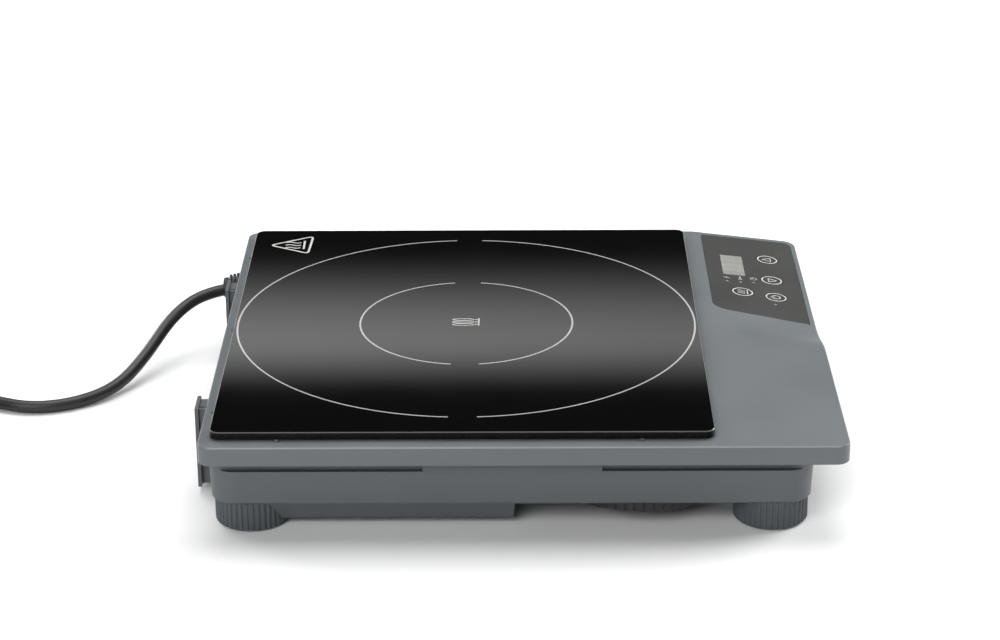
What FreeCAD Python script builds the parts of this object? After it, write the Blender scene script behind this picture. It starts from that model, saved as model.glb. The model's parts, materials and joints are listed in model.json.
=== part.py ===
import FreeCAD, Part
import math
import os
from types import SimpleNamespace

import Sketcher
from FreeCAD import Placement, Rotation, Vector

# Portable induction cooktop. Millimetres, +Z up, +X to the user's right, -Y towards the user.
# The origin lies on the surface that the feet stand on, under the middle of the body's outline.

SIZES = {
    # cover: the upper shell with its overhanging rim
    "cover_width": 316, "cover_depth": 339.5, "cover_middle": -5.75, "cover_corner": 7.5,
    "cover_top": 54, "rim_bottom": 43.7, "cover_wall": 2.6, "rim_round": 0.9,
    # sloping console on the user's right
    "console_back": -111, "console_drop": 7.5, "console_slope": 6.63,
    "ramp_top_front": -24, "ramp_foot_front": 7, "ramp_top_back": 6, "ramp_foot_back": 15,
    # glass and cooking zone
    "glass_width": 297, "glass_depth": 264, "glass_thick": 4, "glass_middle": 26.25,
    "glass_corner": 5.5, "gasket_thick": 0.7, "gasket_width": 9, "gasket_inset": 1.6,
    "zone_middle": 26.5, "zone_opening": 226, "nub_radius": 1.1,
    # bottom case
    "case_width": 300, "case_depth": 319.6, "case_middle": 0.7, "case_corner": 15,
    "case_top": 45.4, "case_bottom": 16.7, "case_draft": 1.2, "case_wall": 2.6, "case_chamfer": 1.2,
    "duct_bottom": 4.6, "duct_front": -1.5, "duct_back": 150, "duct_width": 293.6, "duct_taper": 7.5,
    "hollow_back": 116, "hollow_width": 204,
    "vent_near": 47, "vent_far": 158, "vent_low": 36.4, "vent_deep": 2.6, "vent_pitch": 9,
    # feet
    "foot_radius": 19.8, "foot_height": 16.5, "foot_x": 128.5, "foot_y": 138.1, "foot_ribs": 40,
    "foot_groove": 1.1, "pad_radius": 14, "pad_proud": 0.8,
    # rear brackets
    "bracket_x": 85, "bracket_shift": -6.4, "bracket_width": 17.2, "bracket_back": 171, "bracket_low": 3.8,
    "bracket_high": 50.2, "bracket_wall": 2,
    # cord and its strain relief
    "cord_diameter": 7.2, "inlet_x": 105.5, "inlet_z": 38.2, "relief_end": 175.5,
    # fan and its grille
    "fan_x": -88, "fan_y": -69.5, "fan_radius": 47, "grille_radius": 58, "grille_drop": 6,
    # keys on the console, measured down the slope
    "key_radius": 6.9, "key_gap": 0.2, "key_travel": 0.3, "film_thick": 0.5, "film_recess": 0.6,
    "window_x": 105.9, "window_v": -22.4, "window_width": 31.6, "window_depth": 13.4,
    # coil stack under the glass
    "coil_outer": 92, "coil_inner": 22, "carrier_z": 45, "post_radius": 104,
    # spare cord: a neat coil behind the body, and the plug beside it
    "coil_x": -12, "coil_y": 350, "coil_lift": 0.8, "winding_radius": 37.8, "tie_width": 8,
    "plug_x": -66, "plug_y": 383, "plug_radius": 19,
    # circuit board in the duct
    "board_x": 14, "board_y": 57, "board_z": 13.4, "board_thick": 1.6,
}

doc = FreeCAD.newDocument("InductionCooktop")
sheet = doc.addObject("Spreadsheet::Sheet", "Sizes")
for row, (alias, amount) in enumerate(SIZES.items(), 1):
    sheet.set(f"A{row}", alias)
    sheet.set(f"B{row}", str(amount))
    sheet.setAlias(f"B{row}", alias)
doc.recompute()


def number(value):
    return value.number if isinstance(value, Size) else value


def text(value):
    return value.text if isinstance(value, Size) else f"({value:.6g})"


class Size:
    """A size as its number and as the expression that gives it from the sheet."""

    def __init__(self, number, text):
        self.number = number
        self.text = text

    def __add__(self, other):
        return Size(self.number + number(other), f"({self.text} + {text(other)})")

    def __sub__(self, other):
        return Size(self.number - number(other), f"({self.text} - {text(other)})")

    def __mul__(self, other):
        return Size(self.number * number(other), f"({self.text} * {text(other)})")

    def __truediv__(self, other):
        return Size(self.number / number(other), f"({self.text} / {text(other)})")

    def __rsub__(self, other):
        return Size(other, text(other)) - self

    def __neg__(self):
        return self * -1

    __radd__ = __add__
    __rmul__ = __mul__


size = SimpleNamespace(**{alias: Size(amount, f"Sizes.{alias}") for alias, amount in SIZES.items()})
nodes = []


def node(thing, label):
    """Names a finished sub-part, which becomes a file of its own."""
    thing.Label = label
    nodes.append(thing)
    return thing


def bind(thing, **values):
    for name, value in values.items():
        if isinstance(value, Size):
            thing.setExpression(name, value.text)
        else:
            setattr(thing, name, value)


def place(thing, x, y, z, turned=None):
    """Puts a thing at x, y, z, turned by a rotation, or on the sloping console when turned is "console"."""
    if turned == "console":
        base = CONSOLE.multVec(Vector(number(x), number(y), number(z)))
        thing.Placement = Placement(base, CONSOLE.Rotation.multiply(thing.Placement.Rotation))
        return
    if turned is not None:
        thing.Placement = Placement(Vector(), turned)
    for axis, value in zip("xyz", (x, y, z)):
        thing.setExpression(f".Placement.Base.{axis}", text(value))


# The console's own frame: u is X, v runs up the slope towards the glass, w is its outward normal.
CONSOLE = Placement(
    Vector(0, number(size.console_back), number(size.cover_top)),
    Rotation(Vector(1, 0, 0), number(size.console_slope)),
)
ALONG_X = Rotation(Vector(0, 1, 0), 90)
ALONG_Y = Rotation(Vector(1, 0, 0), -90)


# ---- plain solids and booleans

def box(name, width, depth, height, x, y, z, turned=None):
    """A box whose base is centred on x, y and stands at z."""
    made = doc.addObject("Part::Box", name)
    bind(made, Length=width, Width=depth, Height=height)
    place(made, x - width / 2, y - depth / 2, z, turned)
    return made


def cylinder(name, radius, height, x, y, z, turned=None):
    made = doc.addObject("Part::Cylinder", name)
    bind(made, Radius=radius, Height=height)
    place(made, x, y, z, turned)
    return made


def fuse(name, things):
    made = doc.addObject("Part::MultiFuse", name)
    made.Shapes = things
    return made


def group(name, things):
    """Several separate solids kept as one sub-part."""
    made = doc.addObject("Part::Compound", name)
    made.Links = things
    return made


def cut(name, base, tools):
    made = doc.addObject("Part::Cut", name)
    made.Base = base
    made.Tool = tools[0] if len(tools) == 1 else fuse(name + "_tools", tools)
    return made


# ---- bodies, sketches and their features

def body(name):
    return doc.addObject("PartDesign::Body", name)


def sketch_on(owner, role, lift=0.0):
    """A sketch on one of the body's origin planes, moved along the plane's normal."""
    made = owner.newObject("Sketcher::SketchObject", owner.Name + "_sketch")
    plane = next(item for item in owner.Origin.OriginFeatures if item.Role == role)
    made.AttachmentSupport = [(plane, "")]
    made.MapMode = "FlatFace"
    made.setExpression(".AttachmentOffset.Base.z", text(lift))
    return made


def fix(sketch, kind, *where, value):
    index = sketch.addConstraint(Sketcher.Constraint(kind, *where, number(value)))
    if isinstance(value, Size):
        sketch.setExpression(f".Constraints[{index}]", value.text)


def circle(sketch, radius, x=0, y=0):
    index = sketch.addGeometry(Part.Circle(Vector(number(x), number(y), 0), Vector(0, 0, 1), number(radius)))
    fix(sketch, "Radius", index, value=radius)
    fix(sketch, "DistanceX", -1, 1, index, 3, value=x)
    fix(sketch, "DistanceY", -1, 1, index, 3, value=y)


def polygon(sketch, points):
    """A closed outline of straight sides, with each corner bound to its two sizes."""
    first = sketch.GeometryCount
    corners = [Vector(number(x), number(y), 0) for x, y in points]
    count = len(corners)
    for index in range(count):
        sketch.addGeometry(Part.LineSegment(corners[index], corners[(index + 1) % count]))
    for index in range(count):
        before = first + (index - 1) % count
        sketch.addConstraint(Sketcher.Constraint("Coincident", before, 2, first + index, 1))
        fix(sketch, "DistanceX", -1, 1, first + index, 1, value=points[index][0])
        fix(sketch, "DistanceY", -1, 1, first + index, 1, value=points[index][1])


def rectangle(sketch, left, right, low, high):
    polygon(sketch, [(left, low), (right, low), (right, high), (left, high)])


def rounded_rectangle(sketch, width, depth, radius, x=0, y=0):
    first = sketch.GeometryCount
    wide, deep, bend = number(width) / 2, number(depth) / 2, number(radius)
    middle = Vector(number(x), number(y), 0)
    steps = [(0, -1), (1, 0), (0, 1), (-1, 0)]
    for turn, (across, up) in enumerate(steps):
        along = Vector(-up, across, 0)
        half = wide - bend if across == 0 else deep - bend
        side = middle + Vector(across * wide, up * deep, 0)
        sketch.addGeometry(Part.LineSegment(side - along * half, side + along * half))
        corner = side + along * half - Vector(across, up, 0) * bend
        start = math.radians(90 * turn - 90)
        arc = Part.ArcOfCircle(Part.Circle(corner, Vector(0, 0, 1), bend), start, start + math.pi / 2)
        sketch.addGeometry(arc)
    for index in range(8):
        joined = (first + index, 2, first + (index + 1) % 8, 1)
        sketch.addConstraint(Sketcher.Constraint("Tangent", *joined))
    for index, kind in enumerate(["Horizontal", "Vertical"] * 2):
        sketch.addConstraint(Sketcher.Constraint(kind, first + 2 * index))
    for index in (3, 5, 7):
        sketch.addConstraint(Sketcher.Constraint("Equal", first + 1, first + index))
    fix(sketch, "Radius", first + 1, value=radius)
    fix(sketch, "DistanceX", first + 7, 3, first + 1, 3, value=width - 2 * radius)
    fix(sketch, "DistanceY", first + 1, 3, first + 3, 3, value=depth - 2 * radius)
    fix(sketch, "DistanceX", -1, 1, first + 1, 3, value=x + width / 2 - radius)
    fix(sketch, "DistanceY", -1, 1, first + 1, 3, value=y - depth / 2 + radius)


def pad(owner, sketch, length, midplane=False):
    made = owner.newObject("PartDesign::Pad", owner.Name + "_pad")
    made.Profile = sketch
    made.SideType = "Symmetric" if midplane else "One side"
    bind(made, Length=length)
    return made


def pocket(owner, sketch, length, reverse=False):
    """A pocket against the sketch's normal, or along it when reversed. It has to remove something."""
    doc.recompute()
    before = owner.Shape.Volume
    made = owner.newObject("PartDesign::Pocket", owner.Name + "_pocket")
    made.Profile = sketch
    bind(made, Length=length, Reversed=reverse)
    doc.recompute()
    if owner.Shape.Volume > before - 0.01:
        raise RuntimeError(f"{made.Name} removes nothing")
    return made


def loft(owner, first, *others):
    """Straight flanks from one outline to the next."""
    made = owner.newObject("PartDesign::AdditiveLoft", owner.Name + "_loft")
    made.Profile = first
    made.Sections = list(others)
    made.Ruled = True
    return made


def revolve(owner, sketch):
    """Turns a sketch of the XZ plane about the body's Z axis."""
    made = owner.newObject("PartDesign::Revolution", owner.Name + "_revolution")
    made.Profile = sketch
    made.ReferenceAxis = (sketch, ["V_Axis"])
    made.Angle = 360
    return made


def polar(owner, feature, count):
    """Repeats a feature around the body's Z axis."""
    made = owner.newObject("PartDesign::PolarPattern", owner.Name + "_polar")
    made.Originals = [feature]
    axis = next(item for item in owner.Origin.OriginFeatures if item.Role == "Z_Axis")
    made.Axis = (axis, [""])
    made.Angle = 360
    bind(made, Occurrences=count)
    owner.Tip = made
    return made


def linear(owner, feature, sketch, length, count):
    """Repeats a feature along its sketch's horizontal axis."""
    made = owner.newObject("PartDesign::LinearPattern", owner.Name + "_linear")
    made.Originals = [feature]
    made.Direction = (sketch, ["H_Axis"])
    bind(made, Length=length)
    made.Occurrences = count
    owner.Tip = made
    return made


def dress(owner, kind, radius, chosen):
    """A fillet or a chamfer on the edges of the body's solid that the test picks."""
    doc.recompute()
    base = owner.Tip
    names = [f"Edge{index}" for index, edge in enumerate(base.Shape.Edges, 1) if chosen(edge)]
    made = owner.newObject("PartDesign::" + kind, owner.Name + "_" + kind.lower())
    made.Base = (base, names)
    bind(made, **{"Radius" if kind == "Fillet" else "Size": radius})
    return made


def flat_at(height):
    """Picks the edges that lie wholly at one height."""
    level = number(height)
    return lambda edge: abs(edge.BoundBox.ZMin - level) < 1e-4 and abs(edge.BoundBox.ZMax - level) < 1e-4


# ---- glass, gasket and cover

def make_glass():
    glass = body("GlassPlate")
    outline = sketch_on(glass, "XY_Plane", size.cover_top + size.gasket_thick)
    rounded_rectangle(outline, size.glass_width, size.glass_depth, size.glass_corner, 0, size.glass_middle)
    pad(glass, outline, size.glass_thick)
    top = size.cover_top + size.gasket_thick + size.glass_thick
    dress(glass, "Chamfer", 0.5, flat_at(top))
    node(glass, "glass_plate")

    gasket = body("GlassGasket")
    outline = sketch_on(gasket, "XY_Plane", size.cover_top)
    width = size.glass_width - 2 * size.gasket_inset
    depth = size.glass_depth - 2 * size.gasket_inset
    rounded_rectangle(outline, width, depth, size.glass_corner, 0, size.glass_middle)
    inner = width - 2 * size.gasket_width
    rounded_rectangle(outline, inner, depth - 2 * size.gasket_width, 2, 0, size.glass_middle)
    pad(gasket, outline, size.gasket_thick)
    node(gasket, "glass_gasket")


def ramp_outline(along, y, top, foot, drop, level):
    """The lower edge of the console's cut at one Y: the shelf, a slope between two arcs, the low surface."""
    right = number(size.cover_width)
    above = level + 30
    low = level - drop
    path = bent_path([(-right, y, level), (top, y, level), (foot, y, low), (right, y, low)], 0.42)[0]
    ends = [(right, y, low), (right, y, above), (-right, y, above), (-right, y, level)]
    closing = [Part.LineSegment(Vector(*start), Vector(*end)).toShape() for start, end in zip(ends, ends[1:])]
    outline = doc.addObject("Part::Feature", along)
    outline.Shape = Part.Wire(path.Edges + closing)
    return outline


def console_cut(name, lowered):
    """The space over the console: a ramp that grows out of the flat shelf towards the user."""
    front = number(size.cover_middle - size.cover_depth / 2) - 6
    back = number(size.console_back)
    reach = front - back
    fall = math.tan(math.radians(number(size.console_slope)))
    level = number(size.cover_top) - lowered + 0.04
    edge = number(size.cover_middle - size.cover_depth / 2) - back
    ramp = {}
    for part in ("top", "foot"):
        at_back = number(getattr(size, f"ramp_{part}_back"))
        at_front = number(getattr(size, f"ramp_{part}_front"))
        ramp[part] = (at_back, at_back + (at_front - at_back) * reach / edge)
    start = ramp_outline(name + "_front", front, ramp["top"][1], ramp["foot"][1], -reach * fall, level)
    end = ramp_outline(name + "_back", back + 3, ramp["top"][0], ramp["foot"][0], -3 * fall, level)
    made = doc.addObject("Part::Loft", name)
    made.Sections = [start, end]
    made.Solid = True
    made.Ruled = True
    return made


def console_block(name, points, low, high, bends=()):
    """A prism that stands on the console's slope, from low to high along its normal, with rounded corners."""
    corners = [Vector(u, v, low) for u, v in points]
    outline = Part.makePolygon(corners + [corners[0]])
    solid = Part.Face(outline).extrude(Vector(0, 0, high - low))
    for corner, bend in zip(corners, bends):
        upright = [
            edge for edge in solid.Edges
            if all(math.hypot(end.X - corner.x, end.Y - corner.y) < 1e-6 for end in edge.Vertexes)
        ]
        solid = solid.makeFillet(bend, upright)
    made = doc.addObject("Part::Feature", name)
    made.Shape = solid
    made.Placement = CONSOLE
    return made


FILM = [(22.6, -61.6), (153, -61.6), (153, -6.2), (34.6, -6.2)]
FILM_BENDS = (0.8, 5.5, 2.5, 11)
KEYS = {
    "key_up": (121.4, -45.0), "key_down": (87.2, -44.8),
    "key_function": (63.7, -25.4), "key_power": (60.4, -45.1),
}
LIGHTS = [(48.9, -43.8), (79.3, -17.3), (79.5, -25.6), (80.8, -33.5)]
NUBS = [(side * 149.7, y) for side in (-1, 1) for y in (-67.6, 122.7)] + [(x, 159.5) for x in (-113, 0, 113)]
HOUSING_SCREWS = [(-60, 152), (60, 152), (-141, -109), (141, -109)]


def make_cover():
    shell = body("CoverBlock")
    outline = sketch_on(shell, "XY_Plane", size.rim_bottom)
    corner = size.cover_corner
    rounded_rectangle(outline, size.cover_width, size.cover_depth, corner, 0, size.cover_middle)
    pad(shell, outline, size.cover_top - size.rim_bottom)

    hollow = body("CoverHollow")
    outline = sketch_on(hollow, "XY_Plane", size.rim_bottom - 1)
    wall = 2 * size.cover_wall
    width, depth = size.cover_width - wall, size.cover_depth - wall
    rounded_rectangle(outline, width, depth, corner - size.cover_wall, 0, size.cover_middle)
    pad(hollow, outline, size.cover_top - size.rim_bottom - size.cover_wall + 1)

    under = cut("CoverUnder", hollow, [console_cut("ConsoleUnder", number(size.cover_wall))])
    blank = cut("CoverBlank", shell, [console_cut("ConsoleTop", 0.0), under])

    rounded = doc.addObject("Part::Fillet", "CoverRounded")
    rounded.Base = blank
    doc.recompute()
    radius = number(size.rim_round)
    rounded.Edges = [(index, radius, radius) for index in rim_edges(blank.Shape)]

    bosses = [
        cylinder(f"CoverBoss{index}", 3.4, size.cover_top - 2 - 40.2, x, y, 40.2)
        for index, (x, y) in enumerate(HOUSING_SCREWS)
    ]
    bored = [cylinder(f"CoverBore{index}", 1.55, 9, x, y, 40) for index, (x, y) in enumerate(HOUSING_SCREWS)]
    nubs = [
        cylinder(f"GlassNub{index}", size.nub_radius, 1.4, x, y, size.cover_top - 0.6)
        for index, (x, y) in enumerate(NUBS)
    ]
    whole = fuse("CoverWhole", [rounded] + bosses + nubs)
    opening = box("ZoneOpening", size.zone_opening, size.zone_opening, 20, 0, size.zone_middle, 40)
    seat = console_block("FilmSeat", grown(FILM, 0.3), -number(size.film_recess), 3, FILM_BENDS)
    tools = [opening, seat] + bored
    for index, (u, v) in enumerate(list(KEYS.values()) + LIGHTS):
        radius = 2.2 if index < len(KEYS) else 1.4
        tools.append(cylinder(f"ConsoleHole{index}", radius, 6, u, v, -5, "console"))
    for label, (u, v) in KEYS.items():
        floor = -number(size.film_recess) - number(size.key_travel) - 0.15
        tools.append(cylinder(label + "_pocket", size.key_radius + 0.4, 3, u, v, floor, "console"))
    u, v = number(size.window_x), number(size.window_v)
    wide, deep = number(size.window_width) / 2 - 1.5, number(size.window_depth) / 2 - 1.2
    corners = [(u - wide, v - deep), (u + wide, v - deep), (u + wide, v + deep), (u - wide, v + deep)]
    tools.append(console_block("WindowHole", corners, -5, 3))
    node(cut("TopCover", whole, tools), "top_cover")


def grown(points, by):
    """The film's outline moved out on every side."""
    middle_u = sum(u for u, v in points) / len(points)
    middle_v = sum(v for u, v in points) / len(points)
    return [(u + math.copysign(by, u - middle_u), v + math.copysign(by, v - middle_v)) for u, v in points]


def rim_edges(shape):
    """The indices of the cover's upper outer edges, those between a side and the surface on top."""
    found = []
    half = number(size.cover_width) / 2
    middle = number(size.cover_middle)
    deep = number(size.cover_depth) / 2
    bend = number(size.cover_corner)
    for index, edge in enumerate(shape.Edges, 1):
        first, last = edge.ParameterRange
        spots = [edge.valueAt(first + (last - first) * part) for part in (0, 0.5, 1)]
        outside = True
        for spot in spots:
            over_x = abs(spot.x) - (half - bend)
            over_y = abs(spot.y - middle) - (deep - bend)
            reach = math.hypot(max(over_x, 0), max(over_y, 0))
            outside = outside and abs(reach - bend) < 1e-3
        low = min(spot.z for spot in spots)
        along = spots[2] - spots[0]
        upright = abs(along.z) > 0.5 and math.hypot(along.x, along.y) < 1e-3
        if outside and low > number(size.rim_bottom) + 1 and not upright:
            found.append(index)
    return found


# ---- bottom case, feet, brackets and fan grille

BRACKET_SCREWS = (24, 38)
BOARD_SCREWS = [(-64, 12), (-64, 102), (92, 12), (92, 102)]
POSTS = [(104, 26.5, "duct"), (-104, 26.5, "duct"), (0, 130.5, "duct"), (0, -77.5, "floor")]
FEET = {
    "foot_front_left": (-1, -1), "foot_front_right": (1, -1),
    "foot_rear_left": (-1, 1), "foot_rear_right": (1, 1),
}


def foot_place(side, end):
    return size.foot_x * side, size.case_middle + size.foot_y * end


def bracket_middle(side):
    return size.bracket_shift + size.bracket_x * side


def make_case():
    case = body("BottomCase")
    middle, floor = size.case_middle, size.case_bottom + size.case_wall
    outlines = []
    draft, bevel = size.case_draft, size.case_chamfer
    steps = ((size.case_bottom, draft + bevel), (size.case_bottom + bevel, draft), (size.case_top, 0))
    for level, inset in steps:
        outline = sketch_on(case, "XY_Plane", level)
        width, depth = size.case_width - 2 * inset, size.case_depth - 2 * inset
        rounded_rectangle(outline, width, depth, size.case_corner - inset, 0, middle)
        outlines.append(outline)
    loft(case, *outlines)

    duct_middle = (size.duct_front + size.duct_back) / 2
    duct_depth = size.duct_back - size.duct_front
    low = sketch_on(case, "XY_Plane", size.duct_bottom)
    taper = 2 * size.duct_taper
    rounded_rectangle(low, size.duct_width - taper, duct_depth - 2, 0.8, 0, duct_middle)
    high = sketch_on(case, "XY_Plane", size.case_bottom + size.case_chamfer)
    rounded_rectangle(high, size.duct_width, duct_depth, 0.8, 0, duct_middle)
    loft(case, low, high)
    clearance = sketch_on(case, "XY_Plane", size.case_bottom)
    for side, end in FEET.values():
        circle(clearance, size.foot_radius + 0.05, *foot_place(side, end))
    pocket(case, clearance, size.case_bottom)

    inside = sketch_on(case, "XY_Plane", size.case_top)
    wall = 2 * (size.case_draft + size.case_wall)
    rounded_rectangle(inside, size.case_width - wall, size.case_depth - wall, 11.2, 0, middle)
    pocket(case, inside, size.case_top - floor)
    wall = 2 * (size.duct_taper + size.case_wall)
    front = size.duct_front + 4
    for width, back in ((size.duct_width - wall, size.hollow_back), (size.hollow_width, size.duct_back - 4)):
        inside = sketch_on(case, "XY_Plane", floor)
        rounded_rectangle(inside, width, back - front, 4, 0, (back + front) / 2)
        pocket(case, inside, floor - size.duct_bottom - size.case_wall)

    bosses = sketch_on(case, "XY_Plane", floor - 0.5)
    for x, y in HOUSING_SCREWS:
        circle(bosses, 4.6, x, y)
    pad(case, bosses, 39.9 - floor)
    for kind, base in (("floor", floor), ("duct", size.duct_bottom + size.case_wall)):
        posts = sketch_on(case, "XY_Plane", base - 0.5)
        for x, y, stands_on in POSTS:
            if stands_on == kind:
                circle(posts, 4, x, y)
        pad(case, posts, size.carrier_z - base + 0.5)
    blocks = sketch_on(case, "XY_Plane", floor - 0.5)
    for side, end in FEET.values():
        circle(blocks, 6.5, *foot_place(side, end))
    pad(case, blocks, 5.5)
    standoffs = sketch_on(case, "XY_Plane", size.duct_bottom + size.case_wall - 0.5)
    for x, y in BOARD_SCREWS:
        circle(standoffs, 3.2, x, y)
    pad(case, standoffs, size.board_z - size.duct_bottom - size.case_wall + 0.5)

    holes = sketch_on(case, "XY_Plane", floor + 3)
    for side, end in FEET.values():
        circle(holes, 1.55, *foot_place(side, end))
    pocket(case, holes, 8)
    for radius, top in ((1.8, 40), (3.7, 28)):
        holes = sketch_on(case, "XY_Plane", size.case_bottom - 1)
        for x, y in HOUSING_SCREWS:
            circle(holes, radius, x, y)
        pocket(case, holes, top - size.case_bottom + 1, reverse=True)
    intake = sketch_on(case, "XY_Plane", floor)
    circle(intake, size.fan_radius + 3, size.fan_x, size.fan_y)
    pocket(case, intake, size.case_wall + 0.1)

    inlet = sketch_on(case, "XZ_Plane", -(middle + size.case_depth / 2 + 1))
    circle(inlet, 5.7, size.inlet_x, size.inlet_z)
    for side in (-1, 1):
        for height in BRACKET_SCREWS:
            circle(inlet, 1.6, bracket_middle(side), height)
    pocket(case, inlet, 7, reverse=True)
    notch = sketch_on(case, "XZ_Plane", -(middle - size.case_depth / 2 - 1))
    rectangle(notch, 34, 137, 42.6, size.case_top + 1)
    pocket(case, notch, 10)

    for side in (-1, 1):
        recess = sketch_on(case, "YZ_Plane", side * (size.case_width / 2 + 1))
        for end in (-1, 1):
            near, far = sorted((size.vent_near * end, size.vent_far * end), key=number)
            rectangle(recess, near, far, size.vent_low, size.case_top + 1)
        pocket(case, recess, size.vent_deep + 1, reverse=side < 0)
    outlets = sketch_on(case, "XZ_Plane", -(middle + size.case_depth / 2 + 1))
    rectangle(outlets, -54, -49, 24, 34)
    outlet = pocket(case, outlets, 8, reverse=True)
    linear(case, outlet, outlets, size.vent_pitch * 11, 12)
    node(case, "bottom_case")


def make_feet():
    screws, pads = [], []
    for label, (side, end) in FEET.items():
        x, y = foot_place(side, end)
        foot = body(label.title().replace("_", ""))
        rim = sketch_on(foot, "XY_Plane", size.case_bottom - size.foot_height + 0.6)
        circle(rim, size.foot_radius)
        pad(foot, rim, size.foot_height - 0.6)
        dress(foot, "Chamfer", 0.8, flat_at(size.case_bottom - size.foot_height + 0.6))
        groove = sketch_on(foot, "XY_Plane", size.case_bottom)
        circle(groove, size.foot_groove, size.foot_radius + 0.25)
        polar(foot, pocket(foot, groove, size.foot_height), size.foot_ribs)
        for radius, top in ((size.pad_radius + 0.1, 3), (3.7, 6), (1.7, 20)):
            bore = sketch_on(foot, "XY_Plane", 0)
            circle(bore, radius)
            pocket(foot, bore, top, reverse=True)
        place(foot, x, y, 0)
        node(foot, label)
        pads.append(cylinder(label + "_pad", size.pad_radius, 3, x, y, 0))
        head = cylinder(label + "_head", 3.4, 2.4, x, y, 3.6)
        shank = cylinder(label + "_shank", 1.5, 16.4, x, y, 5.5)
        screws.append(fuse(label + "_screw", [head, shank]))
    node(group("FootPads", pads), "foot_pads")
    node(group("FootScrews", screws), "foot_screws")


def make_brackets():
    screws = []
    for label, side in (("rear_bracket_left", -1), ("rear_bracket_right", 1)):
        bracket = body(label.title().replace("_", ""))
        wall = size.bracket_wall
        face = size.case_middle + size.case_depth / 2 + 0.1
        step = size.cover_middle + size.cover_depth / 2 + 0.4
        under = size.rim_bottom - 0.5
        outer = size.bracket_back - wall
        high = size.bracket_high - 1
        half = size.bracket_width / 2
        middle = bracket_middle(side)
        profile = sketch_on(bracket, "YZ_Plane", middle)
        polygon(profile, [
            (face, size.bracket_low + 0.6), (outer, size.bracket_low + 0.6), (outer, high),
            (step, high), (step, under), (face, under),
        ])
        pad(bracket, profile, size.bracket_width - 4, midplane=True)
        flange = sketch_on(bracket, "XZ_Plane", -size.bracket_back)
        rectangle(flange, middle - half, middle + half, size.bracket_low, size.bracket_high)
        pad(bracket, flange, wall)
        for edge in (-1, 1):
            lighten = sketch_on(bracket, "YZ_Plane", middle + edge * (half - 2))
            rectangle(lighten, face + 1.6, outer - 0.01, size.bracket_low, under - 1.6)
            pocket(bracket, lighten, 1.4, reverse=edge < 0)
        groove = sketch_on(bracket, "XY_Plane", high)
        rectangle(groove, middle - half + 4, middle - half + 5.4, step, outer)
        pocket(bracket, groove, 1)
        threads = sketch_on(bracket, "XZ_Plane", -face + 0.5)
        for height in BRACKET_SCREWS:
            circle(threads, 1.45, middle, height)
        pocket(bracket, threads, 4.5, reverse=False)
        node(bracket, label)
        for height in BRACKET_SCREWS:
            head = cylinder(f"{label}_head_{height}", 3, 2, middle, 154.6, height, ALONG_Y)
            shank = cylinder(f"{label}_shank_{height}", 1.4, 7.5, middle, 156.5, height, ALONG_Y)
            screws.append(fuse(f"{label}_screw_{height}", [head, shank]))
    node(group("BracketScrews", screws), "bracket_screws")


def make_grille():
    grille = body("FanGrille")
    low = size.case_bottom - size.grille_drop
    disc = sketch_on(grille, "XY_Plane", low)
    circle(disc, size.grille_radius)
    pad(grille, disc, size.grille_drop - 0.05)
    dress(grille, "Chamfer", 0.8, flat_at(low))
    hollow = sketch_on(grille, "XY_Plane", size.case_bottom)
    circle(hollow, size.grille_radius - 2.6)
    pocket(grille, hollow, size.grille_drop - 2)
    clips = sketch_on(grille, "XY_Plane", low + 1)
    rectangle(clips, size.fan_radius + 0.6, size.fan_radius + 2.4, -5, 5)
    clip = pad(grille, clips, size.grille_drop + size.case_wall)
    polar(grille, clip, 3)
    for inner, outer, wide, count in ((22, size.grille_radius - 4.4, 1.2, 36), (8, 19, 1, 12)):
        slots = sketch_on(grille, "XY_Plane", low + 2.5)
        rectangle(slots, inner, outer, -wide, wide)
        polar(grille, pocket(grille, slots, 4), count)
    notch = sketch_on(grille, "XY_Plane", size.case_bottom)
    circle(notch, 0.8, size.grille_radius + 0.2)
    polar(grille, pocket(grille, notch, size.grille_drop + 1), 72)
    place(grille, size.fan_x, size.fan_y, 0)
    node(grille, "fan_grille")


def make_housing_screws():
    screws = []
    for index, (x, y) in enumerate(HOUSING_SCREWS):
        head = cylinder(f"HousingHead{index}", 3.3, 2.4, x, y, 25.5)
        shank = cylinder(f"HousingShank{index}", 1.5, 20, x, y, 27.8)
        screws.append(fuse(f"HousingScrew{index}", [head, shank]))
    node(group("HousingScrews", screws), "housing_screws")


# ---- console: film, window, keys and their board

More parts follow.
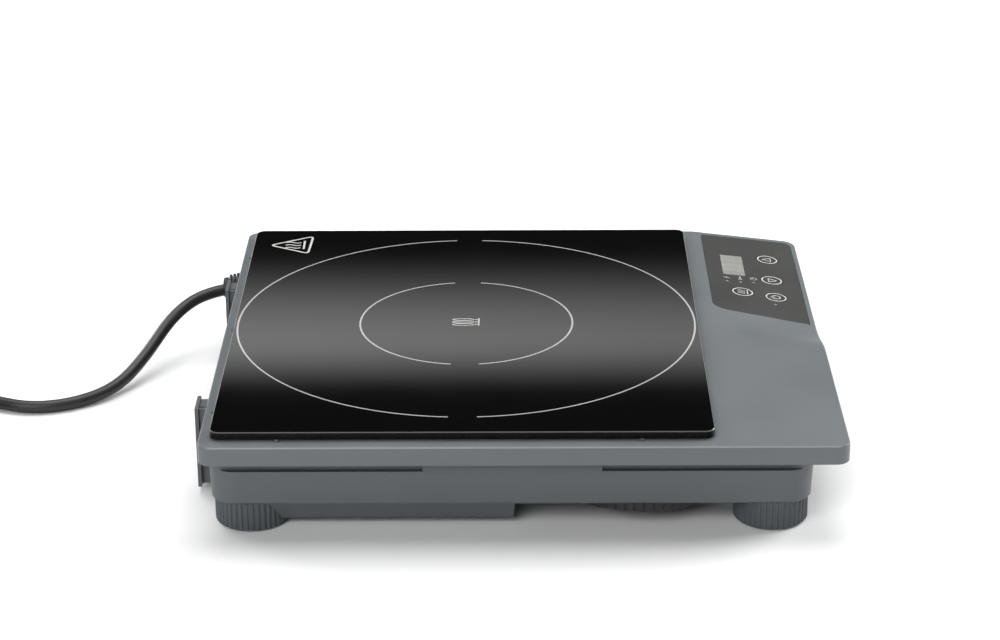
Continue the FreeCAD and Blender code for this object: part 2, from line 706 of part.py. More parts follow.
def make_console():
    film = console_block("FilmBlank", FILM, -number(size.film_recess) + 0.05, -0.05, FILM_BENDS)
    u, v = size.window_x, size.window_v
    reach = size.film_thick * 4
    opening = box("FilmWindow", size.window_width, size.window_depth, reach, u, v, -1, "console")
    holes = [opening]
    for label, (key_u, key_v) in KEYS.items():
        radius = size.key_radius + size.key_gap
        holes.append(cylinder(label + "_opening", radius, reach, key_u, key_v, -1, "console"))
    for index, (light_u, light_v) in enumerate(LIGHTS):
        holes.append(cylinder(f"LightOpening{index}", 1, reach, light_u, light_v, -1, "console"))
    node(cut("ControlFilm", film, holes), "control_film")

    pane_width, pane_depth = size.window_width - 0.1, size.window_depth - 0.1
    node(box("Pane", pane_width, pane_depth, size.film_thick, u, v, -0.55, "console"), "display_window")

    for label, (key_u, key_v) in KEYS.items():
        disc = cylinder(label + "_disc", size.key_radius, size.film_thick, key_u, key_v, -0.55, "console")
        stem = cylinder(label + "_stem", 1.6, 1.6, key_u, key_v, -1.9, "console")
        node(fuse(label + "_whole", [disc, stem]), label)
    pipes = [
        cylinder(f"LightPipe{index}", 0.9, 3.2, light_u, light_v, -3.35, "console")
        for index, (light_u, light_v) in enumerate(LIGHTS)
    ]
    node(group("LightPipes", pipes), "indicator_light_pipes")

    node(box("KeyBoard", 93, 38, 1.6, 86.5, -30, -5, "console"), "control_board")
    switches = [
        cylinder(f"Switch{index}", 1.9, 1, key_u, key_v, -3.4, "console")
        for index, (key_u, key_v) in enumerate(KEYS.values())
    ]
    node(group("KeySwitches", switches), "key_switches")
    display = box("Display", size.window_width - 4, size.window_depth - 3, 2.7, u, v, -3.4, "console")
    node(display, "display_module")
    ribbon = [
        box("RibbonDrop", 14, 1, 26.5, 52, -121, 19.6),
        box("RibbonRun", 14, 127, 0.8, 52, -58, 19.6),
        box("RibbonEnd", 14, 1, 5, 52, 5.5, 15.4),
    ]
    node(fuse("Ribbon", ribbon), "ribbon_cable")
    buzzer = cylinder("Buzzer", 6, 6, 122, -20, -11, "console")
    node(buzzer, "buzzer")


# ---- fan

def make_fan():
    x, y, low = size.fan_x, size.fan_y, size.case_bottom + size.case_wall + 0.1
    ring = cylinder("FanRing", size.fan_radius, 15, x, y, low)
    ears, ear_holes, screws, struts = [], [], [], []
    for index in range(3):
        angle = math.radians(120 * index + 60)
        ear_x = x + math.cos(angle) * 50.5
        ear_y = y + math.sin(angle) * 50.5
        ears.append(cylinder(f"FanEar{index}", 4.5, 3, ear_x, ear_y, low))
        ear_holes.append(cylinder(f"FanEarHole{index}", 1.7, 4, ear_x, ear_y, low - 0.5))
        head = cylinder(f"FanHead{index}", 3, 2, ear_x, ear_y, low + 3.05)
        shank = cylinder(f"FanShank{index}", 1.5, 3.1, ear_x, ear_y, low)
        screws.append(fuse(f"FanScrew{index}", [head, shank]))
        strut = box(f"FanStrut{index}", 34, 3.2, 2, 0, 0, 0)
        turned = Rotation(Vector(0, 0, 1), 120 * index)
        shift = turned.multVec(Vector(12, -1.6, 0))
        place(strut, x + shift.x, y + shift.y, low, turned)
        struts.append(strut)
    base = cylinder("FanBase", 15, 2, x, y, low)
    bush = cylinder("FanBush", 4, 7, x, y, low)
    bore = cylinder("FanBore", size.fan_radius - 2.4, 13.1, x, y, low + 2)
    gaps = cut("FanGaps", cylinder("FanGap", size.fan_radius - 2.4, 2.2, x, y, low - 0.1), struts)
    shaft_hole = cylinder("FanShaftHole", 1.55, 7, x, y, low + 1)
    hollow = cut("FanHollow", fuse("FanSides", [ring] + ears), [gaps, bore] + ear_holes)
    node(cut("FanFrame", fuse("FanHousing", [hollow, base, bush]), [shaft_hole]), "fan_frame")
    node(group("FanScrews", screws), "fan_screws")

    cup_hollow = cylinder("FanCupHollow", 12.4, 9.2, x, y, low + 3.1)
    hub = cut("FanHub", cylinder("FanCup", 14, 11, x, y, low + 3.2), [cup_hollow])
    parts = [hub, cylinder("FanShaft", 1.5, 12.3, x, y, low + 1.2)]
    for index in range(9):
        turned = Rotation(Vector(0, 0, 1), 40 * index).multiply(Rotation(Vector(1, 0, 0), 42))
        blade = box(f"FanBlade{index}", 30.5, 1.3, 12.5, 0, 0, 0)
        shift = turned.multVec(Vector(12.8, -0.65, -6.25))
        place(blade, x + shift.x, y + shift.y, low + 8.7 + shift.z, turned)
        parts.append(blade)
    node(fuse("FanRotor", parts), "fan_rotor")


# ---- induction coil stack

def make_coil_stack():
    middle, level = size.zone_middle, size.carrier_z
    carrier = body("CoilCarrier")
    disc = sketch_on(carrier, "XY_Plane", 0)
    circle(disc, size.coil_outer + 4)
    circle(disc, 14)
    pad(carrier, disc, 3)
    arms = sketch_on(carrier, "XY_Plane", 0)
    rectangle(arms, size.coil_outer, size.post_radius + 6, -7, 7)
    polar(carrier, pad(carrier, arms, 3), 4)
    holes = sketch_on(carrier, "XY_Plane", 3)
    circle(holes, 1.7, size.post_radius)
    polar(carrier, pocket(carrier, holes, 4), 4)
    gaps = sketch_on(carrier, "XY_Plane", 3)
    polygon(gaps, [(30, -4), (size.coil_outer - 4, -22), (size.coil_outer - 4, 22), (30, 4)])
    polar(carrier, pocket(carrier, gaps, 4), 6)
    place(carrier, 0, middle, level)
    node(carrier, "coil_carrier")

    coil = body("InductionCoil")
    profile = sketch_on(coil, "XZ_Plane", 0)
    turns = 14
    pitch = (size.coil_outer - size.coil_inner) / turns
    points = [(size.coil_inner, 0), (size.coil_outer, 0)]
    for index in range(turns):
        edge = size.coil_outer - pitch * index
        points += [(edge, 3.2), (edge - pitch * 0.3, 4.2), (edge - pitch * 0.7, 4.2)]
    polygon(profile, points + [(size.coil_inner, 3.2)])
    revolve(coil, profile)
    place(coil, 0, middle, level + 3.1)
    node(coil, "induction_coil")

    bars, screws = [], []
    for index in range(6):
        turned = Rotation(Vector(0, 0, 1), 60 * index + 30)
        shift = turned.multVec(Vector(30, -6, 0))
        bar = box(f"Ferrite{index}", 56, 12, 4, 0, 0, 0)
        place(bar, shift.x, middle + shift.y, level - 4.1, turned)
        bars.append(bar)
    node(group("FerriteBars", bars), "ferrite_bars")
    for index, (x, y, _) in enumerate(POSTS):
        head = cylinder(f"CarrierHead{index}", 3, 2, x, y, level + 3.05)
        screws.append(head)
    node(group("CarrierScrews", screws), "carrier_screws")
    node(cylinder("InsulationDisc", size.coil_outer + 6, 1.6, 0, middle, level + 7.6), "insulation_disc")
    cup = cylinder("SensorCup", 9, 7.5, 0, middle, level - 0.1)
    flange = cylinder("SensorFlange", 16, 1, 0, middle, level - 1.05)
    node(fuse("Sensor", [cup, flange]), "temperature_sensor")


# ---- main circuit board and what stands on it

def make_electronics():
    x, y, low, top = size.board_x, size.board_y, size.board_z, size.board_z + size.board_thick
    plate = box("Board", 168, 104, size.board_thick, x, y, low)
    holes, heads = [], []
    for index, (screw_x, screw_y) in enumerate(BOARD_SCREWS):
        holes.append(cylinder(f"BoardHole{index}", 1.7, 4, screw_x, screw_y, low - 1))
        heads.append(cylinder(f"BoardHead{index}", 3, 2, screw_x, screw_y, top))
    node(cut("MainBoard", plate, holes), "main_board")
    node(group("BoardScrews", heads), "board_screws")

    sink = body("Heatsink")
    comb = sketch_on(sink, "XZ_Plane", 0)
    rectangle(comb, -22, 22, 0, 24)
    pad(sink, comb, 72, midplane=True)
    grooves = sketch_on(sink, "XZ_Plane", 36)
    rectangle(grooves, -20.4, -17.4, 4, 25)
    slot = pocket(sink, grooves, 72)
    linear(sink, slot, grooves, 36, 9)
    place(sink, -98, 72, 10)
    node(sink, "heatsink")
    node(box("Igbt", 4.6, 16, 21, -73.5, 60, 15.2), "power_transistor")
    node(box("Bridge", 4.6, 24, 18, -73.5, 86, 15.2), "bridge_rectifier")
    node(box("FilterCapacitor", 32, 18, 24, -30, 92, top + 0.05), "filter_capacitor")
    node(box("ResonanceCapacitor", 38, 18, 25, -34, 24, top + 0.05), "resonance_capacitor")
    choke = doc.addObject("Part::Torus", "Choke")
    bind(choke, Radius1=11, Radius2=5)
    place(choke, 14, 88, top + 5.1)
    node(choke, "filter_choke")
    node(box("Transformer", 28, 24, 22, 52, 90, top + 0.05), "supply_transformer")
    cans = [cylinder(f"Can{i}", 6, 20, 70, 30 + 16 * i, top + 0.05) for i in range(3)]
    node(group("Cans", cans), "electrolytic_capacitors")
    fuse_body = cylinder("FuseBody", 2.6, 20, 20, 54, top + 4, ALONG_X)
    clips = [box(f"FuseClip{i}", 3, 6, 4, 22 + 16 * i, 54, top + 0.05) for i in range(2)]
    node(fuse("Fuse", [fuse_body] + clips), "fuse")
    node(box("TerminalBlock", 26, 14, 14, 70, 138, 19.4), "terminal_block")
    bar = box("ClampBar", 24, 6, 3, size.inlet_x, 146, 41.6)
    legs = [
        box(f"ClampLeg{i}", 3, 6, 22.4, size.inlet_x + side * 10.5, 146, 19.4)
        for i, side in enumerate((-1, 1))
    ]
    node(fuse("CordClamp", [bar] + legs), "cord_clamp")


# ---- cords: straight runs joined by arcs that touch both of them

def bent_path(points, share=0.45):
    """A wire through a list of points, each corner rounded as far as its two runs allow."""
    corners = [Vector(*point) for point in points]
    edges, start, radii = [], corners[0], []
    for before, corner, after in zip(corners, corners[1:], corners[2:]):
        into = (corner - before).normalize()
        out = (after - corner).normalize()
        turn = into.getAngle(out)
        reach = share * min(corner.distanceToPoint(before), corner.distanceToPoint(after))
        bend = reach / math.tan(turn / 2)
        inward = (out - into).normalize()
        closest = corner + inward * (bend / math.cos(turn / 2) - bend)
        first, last = corner - into * reach, corner + out * reach
        edges.append(Part.LineSegment(start, first).toShape())
        edges.append(Part.Arc(first, closest, last).toShape())
        start = last
        radii.append(bend)
    edges.append(Part.LineSegment(start, corners[-1]).toShape())
    return Part.Wire(edges), radii


def tube(name, points, diameter):
    """A round tube along a bent path. Its volume has to be its section times its length."""
    path, radii = bent_path(points)
    heading = Vector(*points[1]) - Vector(*points[0])
    section = Part.Wire(Part.makeCircle(diameter / 2, Vector(*points[0]), heading))
    made = doc.addObject("Part::Feature", name)
    made.Shape = path.makePipeShell([section], True, True)
    expected = math.pi * diameter ** 2 / 4 * path.Length
    ratio = made.Shape.Volume / expected
    print(f"{name}: {path.Length:.1f} long, least bend {min(radii):.1f}, volume ratio {ratio:.4f}")
    return made


LYING = number(size.cord_diameter) / 2
WOUND = number(size.coil_lift) + LYING
CORD_ROUTE = [
    (107, 162, 38.2), (101, 184, 38), (84, 204, 30), (55, 219, 13.5), (30, 233, 5),
    (11, 254, LYING), (4, 280, LYING), (14.5, 306, WOUND), (27, 327.5, WOUND),
]
TAIL_ROUTE = [(-15.3, 387.7, 11.6), (-33, 386.3, 12.4), (-49, 384.6, 17.2), (-66, 383, 19)]


def make_cord():
    diameter = number(size.cord_diameter)
    node(tube("PowerCord", CORD_ROUTE, diameter), "power_cord")
    node(tube("CordTail", TAIL_ROUTE, diameter), "cord_tail")

    relief = body("StrainRelief")
    profile = sketch_on(relief, "XZ_Plane", 0)
    points = [(0, 0), (8.4, 0), (8.4, 3.9), (5.6, 3.9), (5.6, 12.6)]
    for index in range(4):
        low = 12.6 + 2.2 * index
        fin = 9.4 - 0.5 * index
        points += [(fin, low), (fin, low + 1.1), (5.2, low + 1.1), (5.2, low + 2.2)]
    points += [(6.4, 21.4), (5.8, 24), (0, 24)]
    polygon(profile, points)
    revolve(relief, profile)
    place(relief, size.inlet_x, size.relief_end - 24, size.inlet_z, ALONG_Y)
    node(relief, "strain_relief")

    coil = body("CordCoil")
    profile = sketch_on(coil, "XZ_Plane", 0)
    wide, layer = size.cord_diameter * 1.5, size.cord_diameter
    inner, outer = size.winding_radius - wide, size.winding_radius + wide
    step = outer - layer
    top = layer * 2
    polygon(profile, [(inner, 0), (outer, 0), (outer, layer), (step, layer), (step, top), (inner, top)])
    revolve(coil, profile)
    place(coil, size.coil_x, size.coil_y, size.coil_lift)
    node(coil, "cord_coil")

    tie = body("CordTie")
    profile = sketch_on(tie, "XZ_Plane", 0)
    for grow in (0, size.coil_lift):
        slack = grow + 0.3
        polygon(profile, [
            (inner - slack, -grow), (outer + slack, -grow), (outer + slack, layer + slack),
            (step + slack, layer + slack), (step + slack, top + slack), (inner - slack, top + slack),
        ])
    pad(tie, profile, size.tie_width, midplane=True)
    place(tie, size.coil_x, size.coil_y, size.coil_lift, Rotation(Vector(0, 0, 1), 200))
    node(tie, "cord_tie")

    plug = body("PlugBody")
    profile = sketch_on(plug, "XZ_Plane", 0)
    face = size.plug_radius
    polygon(profile, [(0, 0), (6, 0), (7, 18), (12, 22), (15, 40), (face, 44), (face, 53), (0, 53)])
    revolve(plug, profile)
    lying = Rotation(Vector(0, 1, 0), -90)
    place(plug, size.plug_x, size.plug_y, size.plug_radius, lying)
    node(plug, "plug_body")
    pins = [
        cylinder(f"PlugPin{i}", 2.4, 19, size.plug_x - 53, size.plug_y + side * 9.5, size.plug_radius, lying)
        for i, side in enumerate((-1, 1))
    ]
    node(group("PlugPins", pins), "plug_pins")


def make_inner_wires():
    leads = []
    for i, side in enumerate((-1, 1)):
        route = [(side * 8 - 60, 100, 44.8), (side * 8 - 60, 99, 30), (side * 8 - 56, 94 + side, 15.7)]
        leads.append(tube(f"CoilLead{i}", route, 3))
    node(group("CoilLeads", leads), "coil_leads")
    wires = []
    for i in range(3):
        from_block = [(76 + 3 * i, 138, 34.5), (80 + 3 * i, 138.3, 39.5)]
        to_inlet = [(101.5 + 2 * i, 139.5, 38.9), (103.5 + 2 * i, 150.9, 38.2)]
        wires.append(tube(f"MainsWire{i}", from_block + to_inlet, 2))
    node(group("MainsWires", wires), "mains_wires")


make_glass()
make_cover()
make_case()
make_feet()
make_brackets()
make_grille()
make_housing_screws()
make_console()
make_fan()
make_coil_stack()
make_electronics()
make_cord()
make_inner_wires()

doc.recompute()
for thing in doc.Objects:
    if {"Invalid", "Error"} & set(thing.State):
        raise RuntimeError(f"{thing.Name} failed: {thing.State}")
for thing in nodes:
    if thing.Shape.isNull() or not thing.Shape.isValid():
        raise RuntimeError(f"{thing.Label} has no valid shape")

os.makedirs("parts", exist_ok=True)
for thing in nodes:
    thing.Shape.exportStep(f"parts/{thing.Label}.step")
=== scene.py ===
import json
import math

import bpy
from mathutils import Euler, Matrix, Vector


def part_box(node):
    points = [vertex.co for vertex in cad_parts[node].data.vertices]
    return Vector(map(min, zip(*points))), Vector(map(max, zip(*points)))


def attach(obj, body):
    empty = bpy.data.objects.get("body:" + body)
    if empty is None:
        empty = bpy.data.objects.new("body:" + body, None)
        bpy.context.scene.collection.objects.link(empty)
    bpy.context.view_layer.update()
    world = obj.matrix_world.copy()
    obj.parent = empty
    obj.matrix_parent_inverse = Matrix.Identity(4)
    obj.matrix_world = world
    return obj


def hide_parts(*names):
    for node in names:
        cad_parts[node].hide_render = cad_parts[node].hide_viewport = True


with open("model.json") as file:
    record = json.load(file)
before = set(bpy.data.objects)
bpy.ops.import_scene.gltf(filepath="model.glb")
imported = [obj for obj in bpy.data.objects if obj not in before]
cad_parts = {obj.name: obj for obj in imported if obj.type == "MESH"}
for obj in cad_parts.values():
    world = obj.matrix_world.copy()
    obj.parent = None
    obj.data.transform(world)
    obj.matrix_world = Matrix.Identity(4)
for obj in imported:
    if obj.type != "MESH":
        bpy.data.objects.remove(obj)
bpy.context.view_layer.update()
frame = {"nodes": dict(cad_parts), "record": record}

MM = 0.001
NODES = frame["nodes"]


# ---- camera, first, because the cord's check reads it

def make_camera():
    data = bpy.data.cameras.new("Camera")
    data.sensor_width = 36
    data.lens = 98.6
    data.clip_start = 0.05
    data.clip_end = 50
    camera = bpy.data.objects.new("Camera", data)
    camera.location = (-1.4406, -0.0028, 0.6586)
    camera.rotation_euler = Euler([math.radians(turn) for turn in (67.432, 0.312, -89.737)])
    bpy.context.scene.collection.objects.link(camera)
    bpy.context.scene.camera = camera


make_camera()


# ---- materials: each is a small node graph in the object's own coordinates, in metres

class Shader:
    """A new material with a Principled shader, and short ways to add nodes to it."""

    def __init__(self, name):
        self.material = bpy.data.materials.new(name)
        self.material.use_nodes = True
        self.tree = self.material.node_tree
        self.surface = self.tree.nodes["Principled BSDF"]
        self.place = self.add("ShaderNodeTexCoord").outputs["Object"]

    def add(self, kind, inputs=None, **settings):
        made = self.tree.nodes.new(kind)
        for key, value in settings.items():
            setattr(made, key, value)
        for key, value in (inputs or {}).items():
            if isinstance(value, bpy.types.NodeSocket):
                self.tree.links.new(value, made.inputs[key])
            else:
                made.inputs[key].default_value = value
        return made

    def feed(self, socket, value):
        if isinstance(value, bpy.types.NodeSocket):
            self.tree.links.new(value, self.surface.inputs[socket])
        else:
            self.surface.inputs[socket].default_value = value

    def math(self, operation, first, second=0.0, third=0.0):
        made = self.add("ShaderNodeMath", {0: first, 1: second, 2: third}, operation=operation)
        return made.outputs[0]

    def noise(self, size, detail=3.0, stretch=(1, 1, 1)):
        """Noise whose features are about size metres across, stretched along X, Y or Z."""
        scaled = self.add("ShaderNodeMapping", {"Vector": self.place, "Scale": [1 / s for s in stretch]})
        inputs = {"Vector": scaled.outputs[0], "Scale": 1 / size, "Detail": detail}
        made = self.add("ShaderNodeTexNoise", inputs)
        return made.outputs["Fac"]

    def between(self, low, high, share, start=0.3, end=0.7, smooth=False):
        """A number that goes from low to high as share goes from start to end."""
        kind = "SMOOTHSTEP" if smooth else "LINEAR"
        inputs = {"Value": share, "From Min": start, "From Max": end, "To Min": low, "To Max": high}
        return self.add("ShaderNodeMapRange", inputs, interpolation_type=kind).outputs[0]

    def blend(self, first, second, share):
        made = self.add("ShaderNodeMix", data_type="RGBA")
        for socket, value in ((made.inputs[6], first), (made.inputs[7], second), (made.inputs[0], share)):
            if isinstance(value, bpy.types.NodeSocket):
                self.tree.links.new(value, socket)
            else:
                socket.default_value = value
        return made.outputs[2]

    def bump(self, height, depth):
        inputs = {"Height": height, "Distance": depth, "Strength": 1.0}
        return self.add("ShaderNodeBump", inputs).outputs[0]


COVER_TOP = 54 * MM
GLOSS_SPREAD = 0.05


def shade(colour, factor):
    return (*[min(1.0, part * factor) for part in colour], 1.0)


def finish(name, colour, roughness, mottle=0.05, patch=0.03, grain=0.0005, depth=0.00001,
           metallic=0.0, stretch=(1, 1, 1)):
    """A surface with slow patches of tone, fine grain in its relief, and uneven gloss."""
    shader = Shader(name)
    patches = shader.noise(patch)
    fine = shader.noise(grain, 2.0, stretch)
    tone = shader.math("MULTIPLY_ADD", fine, 0.35, patches)
    share = shader.between(0, 1, tone, 0.5, 0.85)
    shader.feed("Base Color", shader.blend(shade(colour, 1 - mottle), shade(colour, 1 + mottle), share))
    gloss = shader.between(roughness - GLOSS_SPREAD, roughness + GLOSS_SPREAD, tone, 0.5, 0.85)
    shader.feed("Roughness", gloss)
    shader.feed("Metallic", metallic)
    shader.feed("Normal", shader.bump(fine, depth))
    return shader


def cover_finish(colour):
    """The cover's plastic, with a painted highlight: a little paler along the rounded upper edges of its two
    sides.
    """
    shader = finish("cover_grey", colour, 0.44, 0.03, 0.05, 0.0007, 0.000012)
    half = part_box("top_cover")[1].x
    split = shader.add("ShaderNodeSeparateXYZ", {"Vector": shader.place}).outputs
    outward = shader.between(0, 1, shader.math("ABSOLUTE", split["X"]), half - 0.9 * MM, half - 0.5 * MM)
    upper = shader.between(0, 1, split["Z"], COVER_TOP - 0.75 * MM, COVER_TOP - 0.45 * MM)
    plain = shader.surface.inputs["Base Color"].links[0].from_socket
    # Painted highlight: the rounded upper edges of the two sides are made paler, as if they caught the light.
    painted_highlight = shader.math("MULTIPLY", outward, upper)
    shader.feed("Base Color", shader.blend(plain, shade(colour, 1.75), painted_highlight))
    return shader


def make_slot_materials():
    """One material for each material slot of the record."""
    # The case's grey is darker than the cover's partly as painted shade: it stands in for the shade under the
    # cover's rim.
    grey, lower = (0.118, 0.129, 0.135), (0.088, 0.098, 0.104)
    black = (0.016, 0.016, 0.017)
    made = {
        "cover_grey": cover_finish(grey),
        "case_grey": finish("case_grey", lower, 0.52, 0.04, 0.05, 0.0007, 0.000016),
        "foot_grey": finish("foot_grey", (0.072, 0.081, 0.088), 0.55, 0.06, 0.01, 0.0006, 0.00002),
        "silicone": finish("silicone", black, 0.55, 0.1, 0.01, 0.0008),
        "film": finish("film", (0.043, 0.044, 0.042), 0.40, 0.03, 0.04, 0.00035, 0.000006),
        "key_face": finish("key_face", (0.042, 0.043, 0.041), 0.36, 0.03, 0.01, 0.00035, 0.000006),
        "light_pipe": finish("light_pipe", (0.24, 0.24, 0.23), 0.15, 0.05, 0.002, 0.0005, 0.000002),
        "rubber_black": finish("rubber_black", black, 0.50, 0.15, 0.008, 0.0006, 0.00002),
        "cord_black": finish("cord_black", (0.014, 0.014, 0.015), 0.46, 0.2, 0.02, 0.0009, 0.00002),
        "plug_black": finish("plug_black", black, 0.42, 0.1, 0.01, 0.0006, 0.00002),
        "plated": finish("plated", (0.72, 0.69, 0.62), 0.22, 0.04, 0.004, 0.0004, 0.000004, metallic=1.0),
        "screw_steel": finish("screw_steel", (0.52, 0.53, 0.55), 0.34, 0.08, 0.002, 0.0003, 0.00001,
                              metallic=1.0),
        "copper": finish("copper", (0.60, 0.25, 0.10), 0.32, 0.15, 0.004, 0.0006, 0.00006, metallic=0.8),
        "ferrite": finish("ferrite", (0.045, 0.045, 0.05), 0.6, 0.2, 0.006, 0.0005, 0.00003),
        "insulation": finish("insulation", (0.66, 0.63, 0.55), 0.85, 0.08, 0.01, 0.0009, 0.00009),
        "moulding_black": finish("moulding_black", (0.016, 0.016, 0.017), 0.48, 0.12, 0.01, 0.0006, 0.00002),
        "board_green": finish("board_green", (0.012, 0.10, 0.035), 0.30, 0.15, 0.006, 0.0012, 0.00002),
        "aluminium": finish("aluminium", (0.68, 0.69, 0.70), 0.30, 0.05, 0.01, 0.0003, 0.00001, metallic=1.0,
                            stretch=(1, 40, 1)),
        "component_blue": finish("component_blue", (0.02, 0.05, 0.17), 0.30, 0.1, 0.01),
        "component_yellow": finish("component_yellow", (0.62, 0.42, 0.05), 0.35, 0.06, 0.01),
        "ceramic_white": finish("ceramic_white", (0.72, 0.72, 0.69), 0.25, 0.04, 0.006),
        "ribbon_grey": finish("ribbon_grey", (0.42, 0.42, 0.44), 0.5, 0.2, 0.0012, 0.0012, 0.00003,
                              stretch=(1, 60, 60)),
        "wire_mixed": finish("wire_mixed", (0.30, 0.12, 0.05), 0.35, 0.15, 0.01),
        "black_glass": glass_finish(),
        "window": window_finish(),
    }
    return {slot: shader.material for slot, shader in made.items()}


RINGS = (130 * MM, 60.4 * MM)
RING_LINE = 1.0 * MM
RING_GAP = 15.4 * MM


def glass_finish():
    """Polished black glass with two pale printed rings, each open towards the sides, and a ground edge."""
    low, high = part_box("glass_plate")
    middle = (low + high) / 2
    shader = Shader("black_glass")
    split = shader.add("ShaderNodeSeparateXYZ", {"Vector": shader.place}).outputs
    across = shader.math("SUBTRACT", split["X"], middle.x)
    along = shader.math("SUBTRACT", split["Y"], middle.y)
    square_across = shader.math("MULTIPLY", across, across)
    square_along = shader.math("MULTIPLY", along, along)
    radius = shader.math("SQRT", shader.math("ADD", square_across, square_along))
    printed = None
    for ring in RINGS:
        off = shader.math("ABSOLUTE", shader.math("SUBTRACT", radius, ring))
        drawn = shader.between(1, 0, off, RING_LINE / 2 - 0.1 * MM, RING_LINE / 2 + 0.1 * MM)
        printed = drawn if printed is None else shader.math("MAXIMUM", printed, drawn)
    beside = shader.math("ABSOLUTE", along)
    clear_of_gap = shader.between(0, 1, beside, RING_GAP / 2 - 0.1 * MM, RING_GAP / 2)
    printed = shader.math("MULTIPLY", printed, clear_of_gap)
    edge = shader.between(1, 0, split["Z"], high.z - 0.08 * MM, high.z - 0.03 * MM)
    bevel = shader.between(0, 1, split["Z"], high.z - 0.56 * MM, high.z - 0.48 * MM)
    ground = shader.noise(0.0006, 4.0)
    smudge = shader.noise(0.05, 4.0)
    chipped = shader.between(0, 1, ground, 0.5, 0.75)
    side = shader.blend((0.002, 0.002, 0.002, 1), (0.02, 0.021, 0.02, 1), chipped)
    edge_colour = shader.blend(side, (0.11, 0.107, 0.10, 1), bevel)
    base = shader.blend((0.0018, 0.0018, 0.0019, 1), (0.36, 0.36, 0.35, 1), printed)
    shader.feed("Base Color", shader.blend(base, edge_colour, edge))
    polished = shader.between(0.03, 0.042, smudge)
    shader.feed("Roughness", shader.math("MAXIMUM", polished, shader.math("MULTIPLY", edge, 0.3)))
    shader.feed("IOR", 1.52)
    shader.feed("Specular IOR Level", shader.between(0.5, 0.15, edge, 0, 1))
    shader.feed("Normal", shader.bump(ground, 0.000001))
    return shader


def window_finish():
    """The pale clear window of the display, with the unlit cells behind it barely showing."""
    low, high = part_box("display_window")
    shader = Shader("window")
    split = shader.add("ShaderNodeSeparateXYZ", {"Vector": shader.place}).outputs
    cells = shader.math("MULTIPLY", shader.math("SUBTRACT", split["X"], low.x), 4 / (high.x - low.x))
    seam = shader.math("ABSOLUTE", shader.math("SUBTRACT", shader.math("FRACT", cells), 0.5))
    glow = shader.noise(0.012, 2.0)
    pale = shader.blend((0.24, 0.245, 0.226, 1), (0.28, 0.285, 0.263, 1), shader.between(0, 1, glow))
    parted = shader.between(0, 0.6, seam, 0.42, 0.49)
    shader.feed("Base Color", shader.blend(pale, (0.37, 0.37, 0.35, 1), parted))
    shader.feed("Roughness", shader.between(0.2, 0.28, glow))
    shader.feed("Coat Weight", 0.3)
    shader.feed("Normal", shader.bump(glow, 0.00001))
    return shader


MATERIALS = make_slot_materials()
PRINT = finish("print_pale", (0.56, 0.56, 0.54), 0.35, 0.05, 0.002, 0.0003, 0.000002).material
GLASS_PRINT = finish("print_on_glass", (0.52, 0.52, 0.50), 0.12, 0.05, 0.002, 0.0003, 0.000001).material
GREY_PRINT = finish("print_grey", (0.42, 0.42, 0.40), 0.35, 0.05, 0.002, 0.0003, 0.000002).material


def dress_nodes():
    """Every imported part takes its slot's material."""
    for part in frame["record"]["subparts"]:
        shown = NODES[part["node"]]
        shown.data.materials.clear()
        shown.data.materials.append(MATERIALS[part["material_slot"]])


dress_nodes()


# ---- the cord: one smooth line from the strain relief, through the stored coil, to the plug

CORD_ROUTE = [
    (107, 162, 38.2), (101, 184, 38), (84, 204, 30), (55, 219, 13.5), (30, 233, 5),
    (11, 254, 3.6), (4, 280, 3.6), (14.5, 306, 4.4), (27, 327.5, 4.4),
]
TAIL_ROUTE = [(-15.3, 387.7, 11.6), (-33, 386.3, 12.4), (-49, 384.6, 17.2), (-66, 383, 19)]
CORD_DIAMETER = 7.2
COIL_MIDDLE = (-12, 350)
COIL_START = -30
COIL_TURNS = [(45, 4.4, 1), (37.8, 4.4, 1), (30.6, 4.4, 1), (30.6, 11.6, 1), (37.8, 11.6, 1.347)]
POINTS_A_TURN = 16


def coil_points():
    """Control points of the wound turns. They stand outside the line by what the smooth curve cuts off."""
    step = 360 / POINTS_A_TURN
    outward = 1 / math.cos(math.radians(step / 2))
    stations = []
    for radius, height, turns in COIL_TURNS:
        stations += [(radius, height)] * round(turns * POINTS_A_TURN)
    points = []
    for index in range(len(stations)):
        near = stations[max(0, index - 2):index + 3]
        radius = sum(r for r, z in near) / len(near) * outward
        height = sum(z for r, z in near) / len(near)
        turn = math.radians(COIL_START + step * (index + 0.5))
        across, along = radius * math.cos(turn), radius * math.sin(turn)
        points.append((COIL_MIDDLE[0] + across, COIL_MIDDLE[1] + along, height))
    return points


def make_cord():
    data = bpy.data.curves.new("mains_cord", "CURVE")
    data.dimensions = "3D"
    data.resolution_u = 10
    data.bevel_depth = CORD_DIAMETER / 2 * MM
    data.bevel_resolution = 8
    data.use_fill_caps = True
    points = CORD_ROUTE + coil_points() + TAIL_ROUTE
    spline = data.splines.new("NURBS")
    spline.points.add(len(points) - 1)
    for point, place in zip(spline.points, points):
        point.co = (*[part * MM for part in place], 1)
    spline.order_u = 3
    spline.use_endpoint_u = True
    cord = bpy.data.objects.new("mains_cord", data)
    bpy.context.scene.collection.objects.link(cord)
    data.materials.append(MATERIALS["cord_black"])
    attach(cord, "housing")
    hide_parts("power_cord", "cord_coil", "cord_tail")


make_cord()


# ---- printed signs: thin raised lines on the glass, the film and the keys

CONSOLE_BACK = Vector((0, -111 * MM, COVER_TOP))
CONSOLE_TURN = Matrix.Rotation(math.radians(6.63), 3, "X")
INK = 0.03


def console_spot(node):
    """The middle of a node of the console, in millimetres across and up the slope, and how high it stands."""
    to_slope = CONSOLE_TURN.transposed()
    spots = [to_slope @ (vertex.co - CONSOLE_BACK) / MM for vertex in NODES[node].data.vertices]
    low = [min(spot[axis] for spot in spots) for axis in range(3)]
    high = [max(spot[axis] for spot in spots) for axis in range(3)]
    return (low[0] + high[0]) / 2, (low[1] + high[1]) / 2, high[2]


